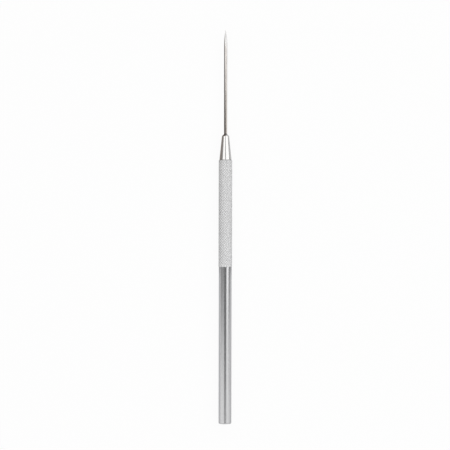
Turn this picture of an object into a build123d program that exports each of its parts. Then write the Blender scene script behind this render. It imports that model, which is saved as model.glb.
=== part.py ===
"""Pottery needle tool: a ground steel needle held in a screw-down chuck on a turned aluminium handle.

Millimetres. The tool lies along Y with its point towards +Y and rests on its grip at z = 0.
Each piece is turned from a profile of stations along the tool, counted from the butt, and radii.
"""
from build123d import *
from math import radians, tan
import os

# Handle
barrel_diameter = 5.1
barrel_length = 62.8
knurl_rise = 0.18
grip_length = 42.7
grip_edge = 0.3
butt_edge = 0.3
spigot_wall = 0.45
spigot_length = 3.0
spigot_edge = 0.2
socket_depth = 5.2
socket_mouth = 0.1
drill_depth = 6.2
drill_point_angle = 59

# Screw thread on the handle's spigot, cut here as one ring groove for each turn
thread_pitch = 0.6
thread_depth = 0.3
thread_root_flat = 0.1
thread_flank_angle = 30
thread_relief = 0.35
relief_depth = 0.03

# Nose cap
nose_length = 10.2
nose_base_wall = 0.58
nose_front_wall = 0.48
nose_front_edge = 0.65
nose_base_edge = 0.12
mouth_length = 0.7
cap_bore_overrun = 0.4
chamber_length = 1.4

# Collet
collet_wall = 0.32
jaw_tip_wall = 0.28
jaw_angle = 6
jaw_back_length = 0.5
jaw_slot_width = 0.25
jaw_slot_reach = 2.2
collet_edge = 0.1

# Needle
needle_diameter = 1.2
needle_reach = 41.9
point_length = 6.6
point_flat = 0.04
tang_edge = 0.15

# Radial clearances, and gaps along the tool
needle_clearance = 0.03
drill_clearance = 0.06
socket_clearance = 0.05
cone_clearance = 0.03
thread_clearance = 0.05
mouth_clearance = 0.12
seat_gap = 0.02
cone_end_gap = 0.1

# Radii, from the needle outwards
needle_radius = needle_diameter / 2
collet_bore_radius = needle_radius + needle_clearance
drill_radius = needle_radius + drill_clearance
mouth_radius = needle_radius + mouth_clearance
shank_radius = collet_bore_radius + collet_wall
socket_radius = shank_radius + socket_clearance
thread_root_radius = socket_radius + spigot_wall
thread_crest_radius = thread_root_radius + thread_depth
cap_bore_radius = thread_crest_radius + thread_clearance
barrel_radius = barrel_diameter / 2
grip_radius = barrel_radius + knurl_rise

# Stations along the tool, from the butt
grip_end = barrel_length + grip_length
spigot_end = grip_end + spigot_length
nose_end = grip_end + nose_length
point_end = nose_end + needle_reach
socket_floor = spigot_end - socket_depth
drill_floor = socket_floor - drill_depth
tang_start = drill_floor + seat_gap
collet_start = socket_floor + seat_gap
cap_bore_end = spigot_end + cap_bore_overrun
chamber_end = cap_bore_end + chamber_length
cone_end = nose_end - mouth_length
collet_end = cone_end - cone_end_gap
jaw_start = chamber_end
jaw_tip_radius = collet_bore_radius + jaw_tip_wall
jaw_back_radius = jaw_tip_radius + (collet_end - jaw_start) * tan(radians(jaw_angle))
chamber_radius = jaw_back_radius + cone_clearance
cone_tip_radius = jaw_tip_radius + cone_clearance
nose_base_radius = cap_bore_radius + nose_base_wall
nose_front_radius = cone_tip_radius + nose_front_wall

# The tool's axis in the part's frame, and the level plane through it that its profiles are drawn on
butt_y = -point_end / 2
axis_height = grip_radius
profile_plane = Plane(origin=(0, butt_y, axis_height), x_dir=(0, 1, 0), z_dir=(0, 0, 1))
tool_axis = Axis((0, butt_y, axis_height), (0, 1, 0))


def at_station(station):
    """The point on the tool's axis at a station."""
    return (0, butt_y + station, axis_height)


# Handle: plain barrel, knurled grip, threaded spigot, collet socket and the drilled hole for the tang
with BuildPart() as handle:
    drill_point = drill_radius / tan(radians(drill_point_angle))
    relief_radius = thread_root_radius - relief_depth
    thread_start = grip_end + thread_relief
    thread_flank = thread_depth * tan(radians(thread_flank_angle))
    thread_crest_flat = thread_pitch - thread_root_flat - 2 * thread_flank
    groove_count = int((spigot_end - spigot_edge - thread_start) / thread_pitch)
    thread_outline = [(thread_start, thread_crest_radius)]
    for groove in range(groove_count):
        groove_start = thread_start + groove * thread_pitch + thread_crest_flat
        thread_outline += [
            (groove_start, thread_crest_radius),
            (groove_start + thread_flank, thread_root_radius),
            (groove_start + thread_flank + thread_root_flat, thread_root_radius),
            (groove_start + 2 * thread_flank + thread_root_flat, thread_crest_radius),
        ]
    with BuildSketch(profile_plane):
        with BuildLine():
            Polyline(
                (0, 0),
                (0, barrel_radius - butt_edge),
                (butt_edge, barrel_radius),
                (barrel_length, barrel_radius),
                (barrel_length + knurl_rise, grip_radius),
                (grip_end - grip_edge, grip_radius),
                (grip_end, grip_radius - grip_edge),
                (grip_end, relief_radius),
                (thread_start, relief_radius),
                *thread_outline,
                (spigot_end - spigot_edge, thread_crest_radius),
                (spigot_end, thread_crest_radius - spigot_edge),
                (spigot_end, socket_radius + socket_mouth),
                (spigot_end - socket_mouth, socket_radius),
                (socket_floor, socket_radius),
                (socket_floor, drill_radius),
                (drill_floor, drill_radius),
                (drill_floor - drill_point, 0),
                close=True,
            )
        make_face()
    revolve(axis=tool_axis)
handle.part.label = "handle"

# Nose cap: a cone outside, and inside the bore for the spigot, a chamber and the cone that closes the jaws
with BuildPart() as nose_cap:
    with BuildSketch(profile_plane):
        with BuildLine():
            Polyline(
                (grip_end, nose_base_radius - nose_base_edge),
                (grip_end + nose_base_edge, nose_base_radius),
                (nose_end - nose_front_edge, nose_front_radius),
                (nose_end, nose_front_radius - nose_front_edge),
                (nose_end, mouth_radius),
                (cone_end, mouth_radius),
                (cone_end, cone_tip_radius),
                (chamber_end, chamber_radius),
                (cap_bore_end, chamber_radius),
                (cap_bore_end, cap_bore_radius),
                (grip_end, cap_bore_radius),
                close=True,
            )
        make_face()
    revolve(axis=tool_axis)
nose_cap.part.label = "nose_cap"

# Collet: a shank that slides in the handle's socket, and four jaws parted by two crossing slots
with BuildPart() as collet:
    slot_length = collet_end - jaw_start + jaw_slot_reach
    with BuildSketch(profile_plane):
        with BuildLine():
            Polyline(
                (collet_start, collet_bore_radius),
                (collet_start, shank_radius - collet_edge),
                (collet_start + collet_edge, shank_radius),
                (jaw_start - jaw_back_length, shank_radius),
                (jaw_start, jaw_back_radius),
                (collet_end, jaw_tip_radius),
                (collet_end, collet_bore_radius),
                close=True,
            )
        make_face()
    revolve(axis=tool_axis)
    with BuildSketch(Plane(origin=at_station(collet_end), x_dir=(1, 0, 0), z_dir=(0, 1, 0))):
        with PolarLocations(0, 2, angular_range=180):
            Rectangle(4 * jaw_back_radius, jaw_slot_width)
    extrude(amount=-slot_length, mode=Mode.SUBTRACT)
collet.part.label = "collet"

# Needle: a straight shank with a long curved point
with BuildPart() as needle:
    with BuildSketch(profile_plane):
        with BuildLine():
            Polyline(
                (point_end, point_flat / 2),
                (point_end, 0),
                (tang_start, 0),
                (tang_start, needle_radius - tang_edge),
                (tang_start + tang_edge, needle_radius),
                (point_end - point_length, needle_radius),
            )
            TangentArc(
                (point_end - point_length, needle_radius),
                (point_end, point_flat / 2),
                tangent=(1, 0),
            )
        make_face()
    revolve(axis=tool_axis)
needle.part.label = "needle"

os.makedirs("parts", exist_ok=True)
export_step(handle.part, "parts/handle.step")
export_step(nose_cap.part, "parts/nose_cap.step")
export_step(collet.part, "parts/collet.step")
export_step(needle.part, "parts/needle.step")
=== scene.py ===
"""Pottery needle tool, photographed from straight above on white, point up.

Metres, in the model's own frame: the tool lies along Y with its point towards +Y, on a floor at z = 0.
Each turned piece is a profile of stations along the tool, counted from the butt, and radii.
"""
from math import cos, pi, radians, sin, tan

import bpy
import numpy as np
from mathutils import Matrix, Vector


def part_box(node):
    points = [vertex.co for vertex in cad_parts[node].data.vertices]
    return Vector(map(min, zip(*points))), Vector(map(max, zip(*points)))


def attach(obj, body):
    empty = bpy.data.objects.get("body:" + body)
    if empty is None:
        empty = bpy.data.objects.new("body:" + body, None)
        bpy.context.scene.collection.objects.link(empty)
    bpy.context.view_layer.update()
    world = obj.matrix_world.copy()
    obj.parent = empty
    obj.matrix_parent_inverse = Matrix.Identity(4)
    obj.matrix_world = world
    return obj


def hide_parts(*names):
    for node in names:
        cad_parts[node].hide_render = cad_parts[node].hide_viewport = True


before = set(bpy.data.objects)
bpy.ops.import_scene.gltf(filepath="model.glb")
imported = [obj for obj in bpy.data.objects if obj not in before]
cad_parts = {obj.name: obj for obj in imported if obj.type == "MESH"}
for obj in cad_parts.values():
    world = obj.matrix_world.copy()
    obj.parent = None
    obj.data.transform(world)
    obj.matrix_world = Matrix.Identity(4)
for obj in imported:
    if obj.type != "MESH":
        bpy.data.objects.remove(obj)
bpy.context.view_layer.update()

MM = 0.001

# Places that the model gives
handle_low, handle_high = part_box("handle")
nose_low, nose_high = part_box("nose_cap")
needle_low, needle_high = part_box("needle")
BUTT = handle_low.y
AXIS_HEIGHT = (handle_low.z + handle_high.z) / 2
GRIP_END = nose_low.y - BUTT
SPIGOT_END = handle_high.y - BUTT
NOSE_END = nose_high.y - BUTT
TANG_START = needle_low.y - BUTT
POINT_END = needle_high.y - BUTT

# Handle
BARREL_RADIUS = 2.55 * MM
GRIP_RADIUS = 2.73 * MM
BARREL_LENGTH = 62.8 * MM
KNURL_RISE = GRIP_RADIUS - BARREL_RADIUS
GRIP_EDGE = 0.3 * MM
BUTT_EDGE = 0.3 * MM
KNURL_LOBES = 15
KNURL_PITCH = 1.09 * MM
KNURL_DEPTH = 0.22 * MM
KNURL_CREST_SHARE = 0.8
KNURL_RUN_OUT = 0.4 * MM
SPIGOT_EDGE = 0.2 * MM
SOCKET_RADIUS = 1.0 * MM
SOCKET_DEPTH = 5.2 * MM
SOCKET_MOUTH = 0.1 * MM
DRILL_RADIUS = 0.66 * MM
DRILL_DEPTH = 6.2 * MM
DRILL_POINT_ANGLE = radians(59)

# Screw thread on the handle's spigot
THREAD_PITCH = 0.6 * MM
THREAD_ROOT = 1.45 * MM
THREAD_CREST = 1.75 * MM
THREAD_ROOT_FLAT = 0.1 * MM
THREAD_FLANK_ANGLE = radians(30)
THREAD_RELIEF = 0.35 * MM
RELIEF_RADIUS = 1.42 * MM

# Nose cap
NOSE_BASE_RADIUS = 2.38 * MM
NOSE_BASE_EDGE = 0.12 * MM
NOSE_FRONT_RADIUS = 1.42 * MM
NOSE_FRONT_EDGE = 0.65 * MM
MOUTH_RADIUS = 0.72 * MM
MOUTH_LENGTH = 0.7 * MM
CONE_TIP_RADIUS = 0.94 * MM
CHAMBER_RADIUS = 1.42 * MM
CHAMBER_LENGTH = 1.4 * MM
CAP_BORE_RADIUS = 1.8 * MM
CAP_BORE_LENGTH = 3.4 * MM

# Needle
NEEDLE_RADIUS = 0.6 * MM
POINT_LENGTH = 6.6 * MM
POINT_START = POINT_END - POINT_LENGTH
POINT_FLAT_RADIUS = 0.02 * MM
TANG_EDGE = 0.15 * MM

# Meshes
CELLS_PER_LOBE = 10
HANDLE_COLUMNS = KNURL_LOBES * CELLS_PER_LOBE
GRIP_ROW = KNURL_PITCH / CELLS_PER_LOBE
ROWS_PER_TURN = 10
NOSE_COLUMNS = 128
NEEDLE_COLUMNS = 48
POINT_ROWS = 33
SHARP_ANGLE = radians(28)

# Colours of the tool
SATIN_DARK = (0.56, 0.56, 0.567)
SATIN_LIGHT = (0.68, 0.68, 0.688)
KNURL_MATTE = (0.96, 0.96, 0.96)
GROOVE_SHADE = (0.33, 0.33, 0.34)
PLATING_HAZED = (0.82, 0.81, 0.79)
PLATING_BRIGHT = (0.88, 0.87, 0.855)
# Painted shade on the nose's rim round the needle
RIM_SHADE = (0.2, 0.18, 0.17)
BRASS_TARNISHED = (0.62, 0.45, 0.22)
BRASS_BRIGHT = (0.80, 0.64, 0.36)
STEEL_BY_NOSE = (0.5, 0.45, 0.41)
STEEL_BY_POINT = (0.80, 0.76, 0.73)
STEEL_GROUND = (0.9, 0.89, 0.88)
STEEL_STAINED = (0.36, 0.31, 0.28)
# Painted shade on the needle where it leaves the nose
STEEL_SHADE_AT_MOUTH = (0.05, 0.045, 0.04)

# Colours of the studio
WHITE = (1.0, 1.0, 1.0)
WARM_WHITE = (1.0, 0.88, 0.8)
ROOM_GREY = (0.14, 0.14, 0.14)
PAPER_SEEN = (0.97, 0.97, 0.97)
# Painted shade on the paper, which only the tool mirrors: grey by the grip, dark left of nose and needle
PAPER_SHADE_BY_BARREL = (0.85, 0.85, 0.86)
PAPER_SHADE_BY_GRIP = (0.42, 0.42, 0.427)
PAPER_SHADE_PAST_GRIP = (0.67, 0.67, 0.68)
PAPER_SHADE_LEFT_OF_NOSE = (0.31, 0.275, 0.25)
PAPER_SHADE_LEFT_OF_NEEDLE = (0.095, 0.066, 0.05)

# Studio. The glows are shares of plain white, in what the camera sees and in what the tool mirrors
LAMP_DISTANCE = 0.9
FLOOR_HALF = 20.0
PAPER_FADE_BEFORE = 5 * MM
PAPER_FADE_AFTER = 2 * MM
PAPER_GLOW_SEEN = 0.93
PAPER_GLOW_MIRRORED = 0.03
ROOM_GLOW_MIRRORED = 0.06

# Photograph: 450 px square, 0.4 mm to the pixel, with the tool a little low and right of its middle
IMAGE_PIXELS = 450
PIXEL = 0.4 * MM
TOOL_RIGHT_PIXELS = 0.34
TOOL_LOW_PIXELS = 1.73
TOOL_LEAN = radians(0.12)
CAMERA_HEIGHT = 1.0
SENSOR_WIDTH_MM = 36


# Shapes

def all_round(radii, columns):
    """Radii that are the same all round, with a row for each station and a column for each angle."""
    return np.repeat(radii[:, None], columns, axis=1)


def outline(corners, columns):
    """The corners of a plain stretch of profile, as stations and radii all round."""
    stations, radii = np.array(corners).T
    return stations, all_round(radii, columns)


def rows(start, end, spacing):
    """Stations from start to end at a spacing, with a last row at the end itself."""
    return np.append(np.arange(start, end, spacing), end)


def turned_mesh(name, stretches, loop=False):
    """A mesh turned about the tool's axis, from stretches of stations and radii that follow each other.

    Row i and column j give a point at station s(i) along Y. It stands off the axis by r(i, j) at the
    angle a(j) = 2 pi j / columns, which runs from straight up towards +X. A profile that is a loop joins its
    last row to its first. Any other starts and ends on the axis, with a row that becomes one point.
    """
    stations = np.concatenate([stations for stations, radii in stretches])
    radii = np.concatenate([radii for stations, radii in stretches])
    columns = radii.shape[1]
    angle = 2 * pi * np.arange(columns) / columns
    grid = np.stack(
        [
            radii * np.sin(angle),
            np.broadcast_to(stations[:, None], radii.shape) + BUTT,
            AXIS_HEIGHT + radii * np.cos(angle),
        ],
        axis=-1,
    )
    rings = grid if loop else grid[1:-1]
    index = np.arange(rings.shape[0] * columns).reshape(rings.shape[0], columns)
    after = np.roll(index, -1, axis=1)
    if loop:
        low, low_after = index, after
        high, high_after = np.roll(index, -1, axis=0), np.roll(after, -1, axis=0)
    else:
        low, low_after, high, high_after = index[:-1], after[:-1], index[1:], after[1:]
    faces = np.stack([low, low_after, high_after, high], axis=-1).reshape(-1, 4).tolist()
    points = rings.reshape(-1, 3)
    if not loop:
        first, last = len(points), len(points) + 1
        points = np.concatenate([points, grid[[0, -1], 0]])
        faces += np.stack([after[0], index[0], np.full(columns, first)], axis=-1).tolist()
        faces += np.stack([index[-1], after[-1], np.full(columns, last)], axis=-1).tolist()
    mesh = bpy.data.meshes.new(name)
    mesh.from_pydata(points.tolist(), [], faces)
    mesh.shade_smooth()
    mesh.set_sharp_from_angle(angle=SHARP_ANGLE)
    return mesh


def piece(name, mesh, node, body, material):
    """A finished piece that stands for a node of the model and moves with its body."""
    made = bpy.data.objects.new(name, mesh)
    bpy.context.scene.collection.objects.link(made)
    mesh.materials.append(material)
    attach(made, body)
    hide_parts(node)


def knurl_height(stations):
    """Height of the diamond knurl, from 0 in a groove to 1 on a crest.

    Two families of grooves wind round the grip, one each way. The place across a family is
    n a / 2 pi + s / p, or n a / 2 pi - s / p, for n lobes round the grip and the pitch p along it, and a
    groove lies at each whole number. The height is the distance to the nearer groove, cut off flat at the
    crests.
    """
    around = KNURL_LOBES * np.arange(HANDLE_COLUMNS)[None, :] / HANDLE_COLUMNS
    along = ((stations - BARREL_LENGTH) / KNURL_PITCH)[:, None]
    right_hand = 1 - np.abs(2 * ((around + along) % 1) - 1)
    left_hand = 1 - np.abs(2 * ((around - along) % 1) - 1)
    return np.minimum(np.minimum(right_hand, left_hand), KNURL_CREST_SHARE) / KNURL_CREST_SHARE


def grip():
    """The knurled grip.

    A pitch of the knurl has as many rows as a lobe has columns, so that both families of grooves run from
    point to point. The radius is the turned profile's, less the knurl's depth where the knurl's height is
    low, and the grooves run out at both ends.
    """
    stations = rows(BARREL_LENGTH, GRIP_END, GRIP_ROW)
    turned = np.interp(
        stations,
        [BARREL_LENGTH, BARREL_LENGTH + KNURL_RISE, GRIP_END - GRIP_EDGE, GRIP_END],
        [BARREL_RADIUS, GRIP_RADIUS, GRIP_RADIUS, GRIP_RADIUS - GRIP_EDGE],
    )
    from_end = np.minimum(stations - BARREL_LENGTH, GRIP_END - stations)
    run_out = np.clip(from_end / KNURL_RUN_OUT, 0, 1)
    groove = (1 - knurl_height(stations)) * run_out[:, None]
    return stations, turned[:, None] - KNURL_DEPTH * groove


def thread():
    """The right-hand screw thread.

    The place in the thread's turn is the fraction of s / pitch - a / 2 pi. The groove's middle is at one
    half, with a flat root, straight flanks and a flat crest, and the spigot's end is cut back by its edge.
    """
    stations = rows(GRIP_END + THREAD_RELIEF, SPIGOT_END, THREAD_PITCH / ROWS_PER_TURN)
    around = np.arange(HANDLE_COLUMNS)[None, :] / HANDLE_COLUMNS
    turn = (stations[:, None] / THREAD_PITCH - around) % 1
    from_groove = np.abs(turn - 0.5) * THREAD_PITCH - THREAD_ROOT_FLAT / 2
    depth = THREAD_CREST - THREAD_ROOT
    height = np.clip(from_groove / (depth * tan(THREAD_FLANK_ANGLE)), 0, 1)
    edge = THREAD_CREST - np.clip(stations - (SPIGOT_END - SPIGOT_EDGE), 0, None)
    return stations, np.minimum(THREAD_ROOT + depth * height, edge[:, None])


def handle_mesh():
    """The handle: butt, plain barrel, knurled grip, threaded spigot, and the stepped hole down its middle.

    The barrel's last ring is one row before the knurl, which keeps the shading of the step up to the grip
    off the barrel.
    """
    barrel = outline(
        [
            (0, 0),
            (0, BARREL_RADIUS / 2),
            (0, BARREL_RADIUS - BUTT_EDGE),
            (BUTT_EDGE, BARREL_RADIUS),
            (BARREL_LENGTH - GRIP_ROW, BARREL_RADIUS),
        ],
        HANDLE_COLUMNS,
    )
    relief = outline([(GRIP_END, RELIEF_RADIUS), (GRIP_END + THREAD_RELIEF, RELIEF_RADIUS)], HANDLE_COLUMNS)
    socket_floor = SPIGOT_END - SOCKET_DEPTH
    drill_floor = socket_floor - DRILL_DEPTH
    bore = outline(
        [
            (SPIGOT_END, SOCKET_RADIUS + SOCKET_MOUTH),
            (SPIGOT_END - SOCKET_MOUTH, SOCKET_RADIUS),
            (socket_floor, SOCKET_RADIUS),
            (socket_floor, DRILL_RADIUS),
            (drill_floor, DRILL_RADIUS),
            (drill_floor - DRILL_RADIUS / tan(DRILL_POINT_ANGLE), 0),
        ],
        HANDLE_COLUMNS,
    )
    return turned_mesh("handle_turned", [barrel, grip(), relief, thread(), bore])


def nose_mesh():
    """The nose cap: a cone outside, and inside a bore for the spigot, a chamber and a cone for the jaws."""
    cap_bore_end = GRIP_END + CAP_BORE_LENGTH
    chamber_end = cap_bore_end + CHAMBER_LENGTH
    cone_end = NOSE_END - MOUTH_LENGTH
    cap = outline(
        [
            (GRIP_END, NOSE_BASE_RADIUS - NOSE_BASE_EDGE),
            (GRIP_END + NOSE_BASE_EDGE, NOSE_BASE_RADIUS),
            (NOSE_END - NOSE_FRONT_EDGE, NOSE_FRONT_RADIUS),
            (NOSE_END, NOSE_FRONT_RADIUS - NOSE_FRONT_EDGE),
            (NOSE_END, MOUTH_RADIUS),
            (cone_end, MOUTH_RADIUS),
            (cone_end, CONE_TIP_RADIUS),
            (chamber_end, CHAMBER_RADIUS),
            (cap_bore_end, CHAMBER_RADIUS),
            (cap_bore_end, CAP_BORE_RADIUS),
            (GRIP_END, CAP_BORE_RADIUS),
        ],
        NOSE_COLUMNS,
    )
    return turned_mesh("nose_turned", [cap], loop=True)


def needle_mesh():
    """The needle: a straight shank, and a point that leaves it along a circular arc.

    The arc of radius R starts level with the shank, so at a distance t along the point the radius has
    dropped by R - sqrt(R^2 - t^2), with R = (l^2 + d^2) / 2 d for a point of length l that drops by d.
    """
    shank = outline(
        [
            (TANG_START, 0),
            (TANG_START, NEEDLE_RADIUS - TANG_EDGE),
            (TANG_START + TANG_EDGE, NEEDLE_RADIUS),
            (NOSE_END, NEEDLE_RADIUS),
        ],
        NEEDLE_COLUMNS,
    )
    drop = NEEDLE_RADIUS - POINT_FLAT_RADIUS
    arc_radius = (POINT_LENGTH ** 2 + drop ** 2) / (2 * drop)
    along_point = np.linspace(0, POINT_LENGTH, POINT_ROWS)
    point_radii = NEEDLE_RADIUS - arc_radius + np.sqrt(arc_radius ** 2 - along_point ** 2)
    point = POINT_START + along_point, all_round(point_radii, NEEDLE_COLUMNS)
    tip = outline([(POINT_END, 0)], NEEDLE_COLUMNS)
    return turned_mesh("needle_turned", [shank, point, tip])


# Finishes

class Level:
    """What a node gives: a number, a colour or a place. Arithmetic on a number adds Math nodes."""

    def __init__(self, finish, socket):
        self.finish = finish
        self.socket = socket

    def __add__(self, other):
        return self.finish.math("ADD", self, other)

    def __sub__(self, other):
        return self.finish.math("SUBTRACT", self, other)

    def __rsub__(self, other):
        return self.finish.math("SUBTRACT", other, self)

    def __mul__(self, other):
        return self.finish.math("MULTIPLY", self, other)

    def __pow__(self, other):
        return self.finish.math("POWER", self, other)

    __radd__ = __add__
    __rmul__ = __mul__


class Finish:
    """A material, or the world, that is built from nodes."""

    def __init__(self, owner):
        self.owner = owner
        owner.use_nodes = True
        self.tree = owner.node_tree
        self.tree.nodes.clear()

    def node(self, kind, settings=None, sockets=None, output=0):
        """Adds a node of one kind, with its settings first and then the values or links of its sockets."""
        made = self.tree.nodes.new(kind)
        for name, value in (settings or {}).items():
            setattr(made, name, value)
        for name, value in (sockets or {}).items():
            if isinstance(value, Level):
                self.tree.links.new(value.socket, made.inputs[name])
            else:
                made.inputs[name].default_value = value
        return Level(self, made.outputs[output]) if len(made.outputs) else None

    def math(self, operation, *values, clamp=False):
        """A Math node on one value or two."""
        return self.node(
            "ShaderNodeMath", {"operation": operation, "use_clamp": clamp}, dict(enumerate(values))
        )

    def between(self, value, low, high):
        """0 before low, 1 beyond high, and a straight ramp from one to the other."""
        return self.math("MULTIPLY", value - low, 1 / (high - low), clamp=True)

    def colours(self, share, first, second):
        """The first colour where the share is 0 and the second where it is 1."""
        return self.node(
            "ShaderNodeMix",
            {"data_type": "RGBA"},
            {0: share, 6: (*first, 1) if isinstance(first, tuple) else first, 7: (*second, 1)},
            output=2,
        )

    def place(self):
        """The point on the piece, as a vector."""
        return self.node("ShaderNodeTexCoord", output="Object")

    def part(self, place, axis):
        """A point's X, Y or Z."""
        return self.node("ShaderNodeSeparateXYZ", sockets={"Vector": place}, output=axis)

    def station(self, place):
        """How far a point is along the tool, counted from the butt."""
        return self.part(place, "Y") - BUTT

    def off_axis(self, place):
        """How far a point is from the tool's axis."""
        side = self.part(place, "X")
        height = self.part(place, "Z") - AXIS_HEIGHT
        return (side * side + height * height) ** 0.5

    def seen(self):
        """1 for what the camera sees directly, and 0 otherwise."""
        return self.node("ShaderNodeLightPath", output="Is Camera Ray")

    def mirrored(self):
        """1 for what is mirrored in metal or seen through glass, and 0 otherwise."""
        glossy = self.node("ShaderNodeLightPath", output="Is Glossy Ray")
        return glossy + self.node("ShaderNodeLightPath", output="Is Transmission Ray")

    def grain(self, place, length, width, detail=2.0, roughness=0.5):
        """Noise from 0 to 1 whose marks have a length along the tool and a width across it."""
        stretched = self.node(
            "ShaderNodeMapping",
            sockets={"Vector": place, "Scale": (1 / width, 1 / length, 1 / width)},
        )
        return self.node(
            "ShaderNodeTexNoise",
            sockets={"Vector": stretched, "Scale": 1.0, "Detail": detail, "Roughness": roughness},
        )

    def bump(self, height, strength, distance):
        """The surface's direction, tilted by marks that stand up to the distance high."""
        return self.node(
            "ShaderNodeBump", sockets={"Height": height, "Strength": strength, "Distance": distance}
        )

    def metal(self, colour, roughness, normal, metallic=1.0):
        """The surface of bare or plated metal."""
        shader = self.node(
            "ShaderNodeBsdfPrincipled",
            sockets={"Base Color": colour, "Roughness": roughness, "Metallic": metallic, "Normal": normal},
        )
        self.node("ShaderNodeOutputMaterial", sockets={"Surface": shader})
        return self.owner


def handle_aluminium():
    """Satin barrel with fine drawn streaks, a matte knurl, and lathe rings on the butt.

    The knurl's shade grows with the square of the depth, so that it keeps to the bottom of the grooves.
    """
    finish = Finish(bpy.data.materials.new("handle_aluminium"))
    place = finish.place()
    station = finish.station(place)
    off_axis = finish.off_axis(place)
    face_fade = 0.02 * MM
    butt_fade = 0.02 * MM, 0.06 * MM
    ring_pitch = 0.14 * MM
    past_grip = finish.between(station, GRIP_END, GRIP_END + face_fade)
    on_grip = finish.between(station, BARREL_LENGTH, BARREL_LENGTH + KNURL_RISE) * (1 - past_grip)
    depth = on_grip * finish.between(off_axis, GRIP_RADIUS, GRIP_RADIUS - KNURL_DEPTH)
    on_butt = 1 - finish.between(station, *butt_fade)
    drawn = finish.grain(place, length=40 * MM, width=0.22 * MM, detail=3.0, roughness=0.6)
    streaks = drawn * (1 - on_butt) + on_butt * 0.5
    clouds = finish.grain(place, length=22 * MM, width=1.6 * MM, detail=2.0)
    wear = finish.grain(place, length=0.9 * MM, width=0.7 * MM, detail=3.0)
    rings = finish.math("SINE", off_axis * (2 * pi / ring_pitch)) * 0.5 + 0.5
    barrel_tone = finish.between(streaks * 0.75 + clouds * 0.25, 0.3, 0.7)
    colour = finish.colours(barrel_tone, SATIN_DARK, SATIN_LIGHT)
    colour = finish.colours(on_grip, colour, KNURL_MATTE)
    colour = finish.colours(depth * depth * 0.66, colour, GROOVE_SHADE)
    barrel_roughness = 0.14 + streaks * 0.05
    grip_roughness = 0.42 + wear * 0.2
    roughness = barrel_roughness * (1 - on_grip) + grip_roughness * on_grip
    marks = streaks * (1 - on_grip) + wear * on_grip * 0.6 + rings * on_butt * 0.5
    normal = finish.bump(marks, strength=0.35, distance=0.02 * MM)
    return finish.metal(colour, roughness, normal, metallic=1 - on_grip * 0.75)


def nose_plating():
    """Polished plating, a little warm, with faint turning marks and painted shade on the rim round the
    needle.
    """
    finish = Finish(bpy.data.materials.new("nose_plating"))
    place = finish.place()
    rim_length = 0.1 * MM
    rim_fade = 0.15 * MM
    rim_start = NOSE_END - rim_length
    rim = finish.between(finish.station(place), rim_start - rim_fade, rim_start)
    turning = finish.grain(place, length=0.05 * MM, width=6 * MM, detail=2.0)
    haze = finish.grain(place, length=1.5 * MM, width=0.8 * MM, detail=3.0)
    colour = finish.colours(haze, PLATING_HAZED, PLATING_BRIGHT)
    # Painted shade darkens the rim round the needle
    colour = finish.colours(rim * 0.8, colour, RIM_SHADE)
    roughness = 0.07 + haze * 0.08
    normal = finish.bump(turning, strength=0.08, distance=0.004 * MM)
    return finish.metal(colour, roughness, normal)


def collet_brass():
    """Turned brass, a little dull."""
    finish = Finish(bpy.data.materials.new("collet_brass"))
    place = finish.place()
    turning = finish.grain(place, length=0.06 * MM, width=5 * MM, detail=2.0)
    tarnish = finish.grain(place, length=1.2 * MM, width=0.9 * MM, detail=3.0)
    colour = finish.colours(tarnish, BRASS_TARNISHED, BRASS_BRIGHT)
    roughness = 0.24 + tarnish * 0.14
    normal = finish.bump(turning, strength=0.25, distance=0.01 * MM)
    return finish.metal(colour, roughness, normal)


def needle_steel():
    """Drawn steel, warm and dark near the nose, a light ground point, and a painted shade ring at the mouth.
    """
    finish = Finish(bpy.data.materials.new("needle_steel"))
    place = finish.place()
    station = finish.station(place)
    grinding_start = POINT_END - POINT_LENGTH * 1.2
    grinding_full = POINT_END - POINT_LENGTH * 0.7
    ring_reach = 0.2 * MM
    ring_fade = 0.15 * MM
    ring_end = NOSE_END + ring_reach
    ground = finish.between(station, grinding_start, grinding_full)
    upwards = finish.between(station, NOSE_END, POINT_START)
    past_ring = finish.between(station, ring_end, ring_end + ring_fade)
    ring = finish.between(station, NOSE_END - ring_reach, NOSE_END) * (1 - past_ring)
    drawn = finish.grain(place, length=14 * MM, width=0.12 * MM, detail=3.0)
    stain = finish.grain(place, length=5 * MM, width=0.5 * MM, detail=3.0)
    stained = finish.between(stain, 0.45, 0.75) * (1 - ground)
    colour = finish.colours(upwards, STEEL_BY_NOSE, STEEL_BY_POINT)
    colour = finish.colours(ground, colour, STEEL_GROUND)
    colour = finish.colours(stained * 0.35, colour, STEEL_STAINED)
    # Painted shade in a ring on the needle at the nose's mouth
    colour = finish.colours(ring * 0.9, colour, STEEL_SHADE_AT_MOUTH)
    roughness = 0.08 + drawn * 0.08
    normal = finish.bump(drawn, strength=0.2, distance=0.008 * MM)
    return finish.metal(colour, roughness, normal)


# Studio

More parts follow.
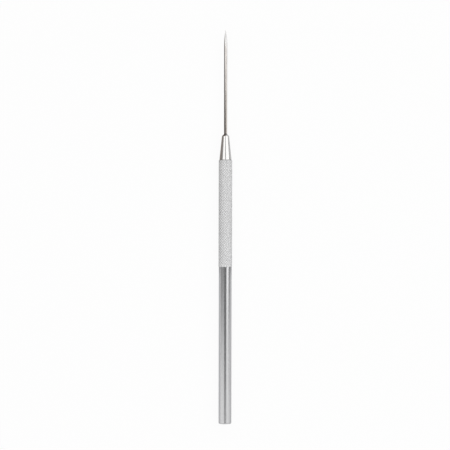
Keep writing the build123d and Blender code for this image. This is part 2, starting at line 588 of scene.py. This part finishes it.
def studio_paper():
    """Paper that the camera sees as nearly plain white, with the tool's faint shadow.

    What the tool itself mirrors of it is painted shade: light beside the barrel, grey beside the grip and
    lighter past it, and dark and warm on the left of the nose and the needle.
    """
    finish = Finish(bpy.data.materials.new("paper_floor"))
    place = finish.place()
    station = finish.station(place)
    seen = finish.seen()
    by_grip = finish.between(station, BARREL_LENGTH - PAPER_FADE_BEFORE, BARREL_LENGTH + PAPER_FADE_AFTER)
    by_nose = finish.between(station, GRIP_END - PAPER_FADE_BEFORE, GRIP_END + PAPER_FADE_AFTER)
    by_needle = finish.between(station, NOSE_END, NOSE_END + PAPER_FADE_BEFORE)
    on_left = finish.between(finish.part(place, "X"), PAPER_FADE_AFTER, -PAPER_FADE_AFTER)
    # Painted shade on the paper where the tool mirrors it; the camera sees plain paper
    tone = finish.colours(by_grip, PAPER_SHADE_BY_BARREL, PAPER_SHADE_BY_GRIP)
    tone = finish.colours(by_nose, tone, PAPER_SHADE_PAST_GRIP)
    tone = finish.colours(by_nose * on_left, tone, PAPER_SHADE_LEFT_OF_NOSE)
    tone = finish.colours(by_needle * on_left, tone, PAPER_SHADE_LEFT_OF_NEEDLE)
    tone = finish.colours(seen, tone, PAPER_SEEN)
    paper = finish.node("ShaderNodeBsdfDiffuse", sockets={"Color": tone})
    glow = finish.node("ShaderNodeEmission", sockets={"Color": (*WHITE, 1), "Strength": 1.0})
    glow_share = seen * PAPER_GLOW_SEEN + finish.mirrored() * PAPER_GLOW_MIRRORED
    shader = finish.node("ShaderNodeMixShader", sockets={0: glow_share, 1: paper, 2: glow})
    finish.node("ShaderNodeOutputMaterial", sockets={"Surface": shader})
    return finish.owner


def paper_floor():
    """A square of paper that the tool lies on, far larger than the image."""
    half = FLOOR_HALF
    corners = [(-half, -half, 0), (half, -half, 0), (half, half, 0), (-half, half, 0)]
    mesh = bpy.data.meshes.new("floor")
    mesh.from_pydata(corners, [], [(0, 1, 2, 3)])
    mesh.materials.append(studio_paper())
    floor = bpy.data.objects.new("floor", mesh)
    bpy.context.scene.collection.objects.link(floor)


def studio_world():
    """A dim room that the camera sees as white."""
    world = bpy.data.worlds.new("studio")
    bpy.context.scene.world = world
    finish = Finish(world)
    white_share = finish.seen() + finish.mirrored() * ROOM_GLOW_MIRRORED
    room = finish.colours(white_share, ROOM_GREY, WHITE)
    light = finish.node("ShaderNodeBackground", sockets={"Color": room, "Strength": 1.0})
    finish.node("ShaderNodeOutputWorld", sockets={"Surface": light})


def softbox(name, angles, along, brightness, colour=WHITE):
    """A soft rectangular lamp parallel to the tool.

    Seen from the tool it runs from the first of its angles to the last, in degrees from straight up
    towards +X, and along Y from the first of its places to the last. Its brightness is even, where 1 is
    white, so its power is pi times its brightness times its area.
    """
    first, last = angles
    near, far = along
    middle = radians((first + last) / 2)
    width = 2 * LAMP_DISTANCE * tan(radians(last - first) / 2)
    length = far - near
    lamp = bpy.data.lights.new(name, "AREA")
    lamp.shape = "RECTANGLE"
    lamp.size = width
    lamp.size_y = length
    lamp.energy = pi * brightness * width * length
    lamp.color = colour
    made = bpy.data.objects.new(name, lamp)
    made.location = (LAMP_DISTANCE * sin(middle), (near + far) / 2, LAMP_DISTANCE * cos(middle))
    made.rotation_euler = (0, middle, 0)
    made.visible_camera = False
    bpy.context.scene.collection.objects.link(made)


def lights():
    """Softboxes on both sides, in stretches along the tool, most with a dark gap between them at the camera.

    From above, the needle mirrors the stretches from 0.03 to 0.17, the nose those beyond and the barrel
    those from 0.03 down to -0.4. The far ones, past 0.5 and -0.4, light the matte knurl.
    """
    softbox("left_needle", angles=(-44, 0), along=(0.11, 0.17), brightness=1.15)
    softbox("left_nose", angles=(-56, -4), along=(0.17, 0.5), brightness=0.95)
    softbox("left_point_far", angles=(-56, -4), along=(0.5, 1.8), brightness=0.7)
    softbox("left_low", angles=(-100, -58), along=(0.18, 1.8), brightness=0.12, colour=WARM_WHITE)
    softbox("left_middle", angles=(-90, -30), along=(-0.085, -0.02), brightness=0.21)
    softbox("left_barrel", angles=(-100, -22), along=(-0.12, -0.085), brightness=0.86)
    softbox("left_butt_end", angles=(-100, -14), along=(-0.4, -0.12), brightness=0.86)
    softbox("left_butt_far", angles=(-100, -14), along=(-1.8, -0.4), brightness=0.55)
    softbox("right_needle", angles=(38, 83), along=(0.03, 0.11), brightness=1.3)
    softbox("right_point", angles=(0, 83), along=(0.11, 0.17), brightness=1.1)
    softbox("right_nose", angles=(10, 79), along=(0.17, 0.5), brightness=1.04)
    softbox("point_far", angles=(-4, 60), along=(0.5, 1.8), brightness=1.2)
    softbox("right_middle", angles=(23, 62), along=(-0.07, 0.03), brightness=1.12)
    softbox("right_barrel", angles=(20, 92), along=(-0.12, -0.07), brightness=0.7)
    softbox("right_butt_end", angles=(18, 92), along=(-0.4, -0.12), brightness=0.78)
    softbox("butt_fill", angles=(-14, 18), along=(-0.4, -0.15), brightness=0.62)
    softbox("butt_far", angles=(-14, 60), along=(-1.8, -0.4), brightness=1.15)


def camera():
    """A long lens straight above, so that the image's pixels are the photograph's."""
    lens = bpy.data.cameras.new("camera")
    lens.sensor_width = SENSOR_WIDTH_MM
    lens.lens = SENSOR_WIDTH_MM * (CAMERA_HEIGHT - AXIS_HEIGHT) / (IMAGE_PIXELS * PIXEL)
    made = bpy.data.objects.new("camera", lens)
    made.location = (-TOOL_RIGHT_PIXELS * PIXEL, TOOL_LOW_PIXELS * PIXEL, CAMERA_HEIGHT)
    made.rotation_euler = (0, 0, TOOL_LEAN)
    bpy.context.scene.collection.objects.link(made)
    bpy.context.scene.camera = made


camera()
lights()
studio_world()
paper_floor()
piece("handle_piece", handle_mesh(), "handle", "handle", handle_aluminium())
piece("nose_piece", nose_mesh(), "nose_cap", "nose_cap", nose_plating())
piece("needle_piece", needle_mesh(), "needle", "needle", needle_steel())
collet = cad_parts["collet"]
collet.data.materials.clear()
collet.data.materials.append(collet_brass())

bpy.context.scene.view_settings.view_transform = "Standard"
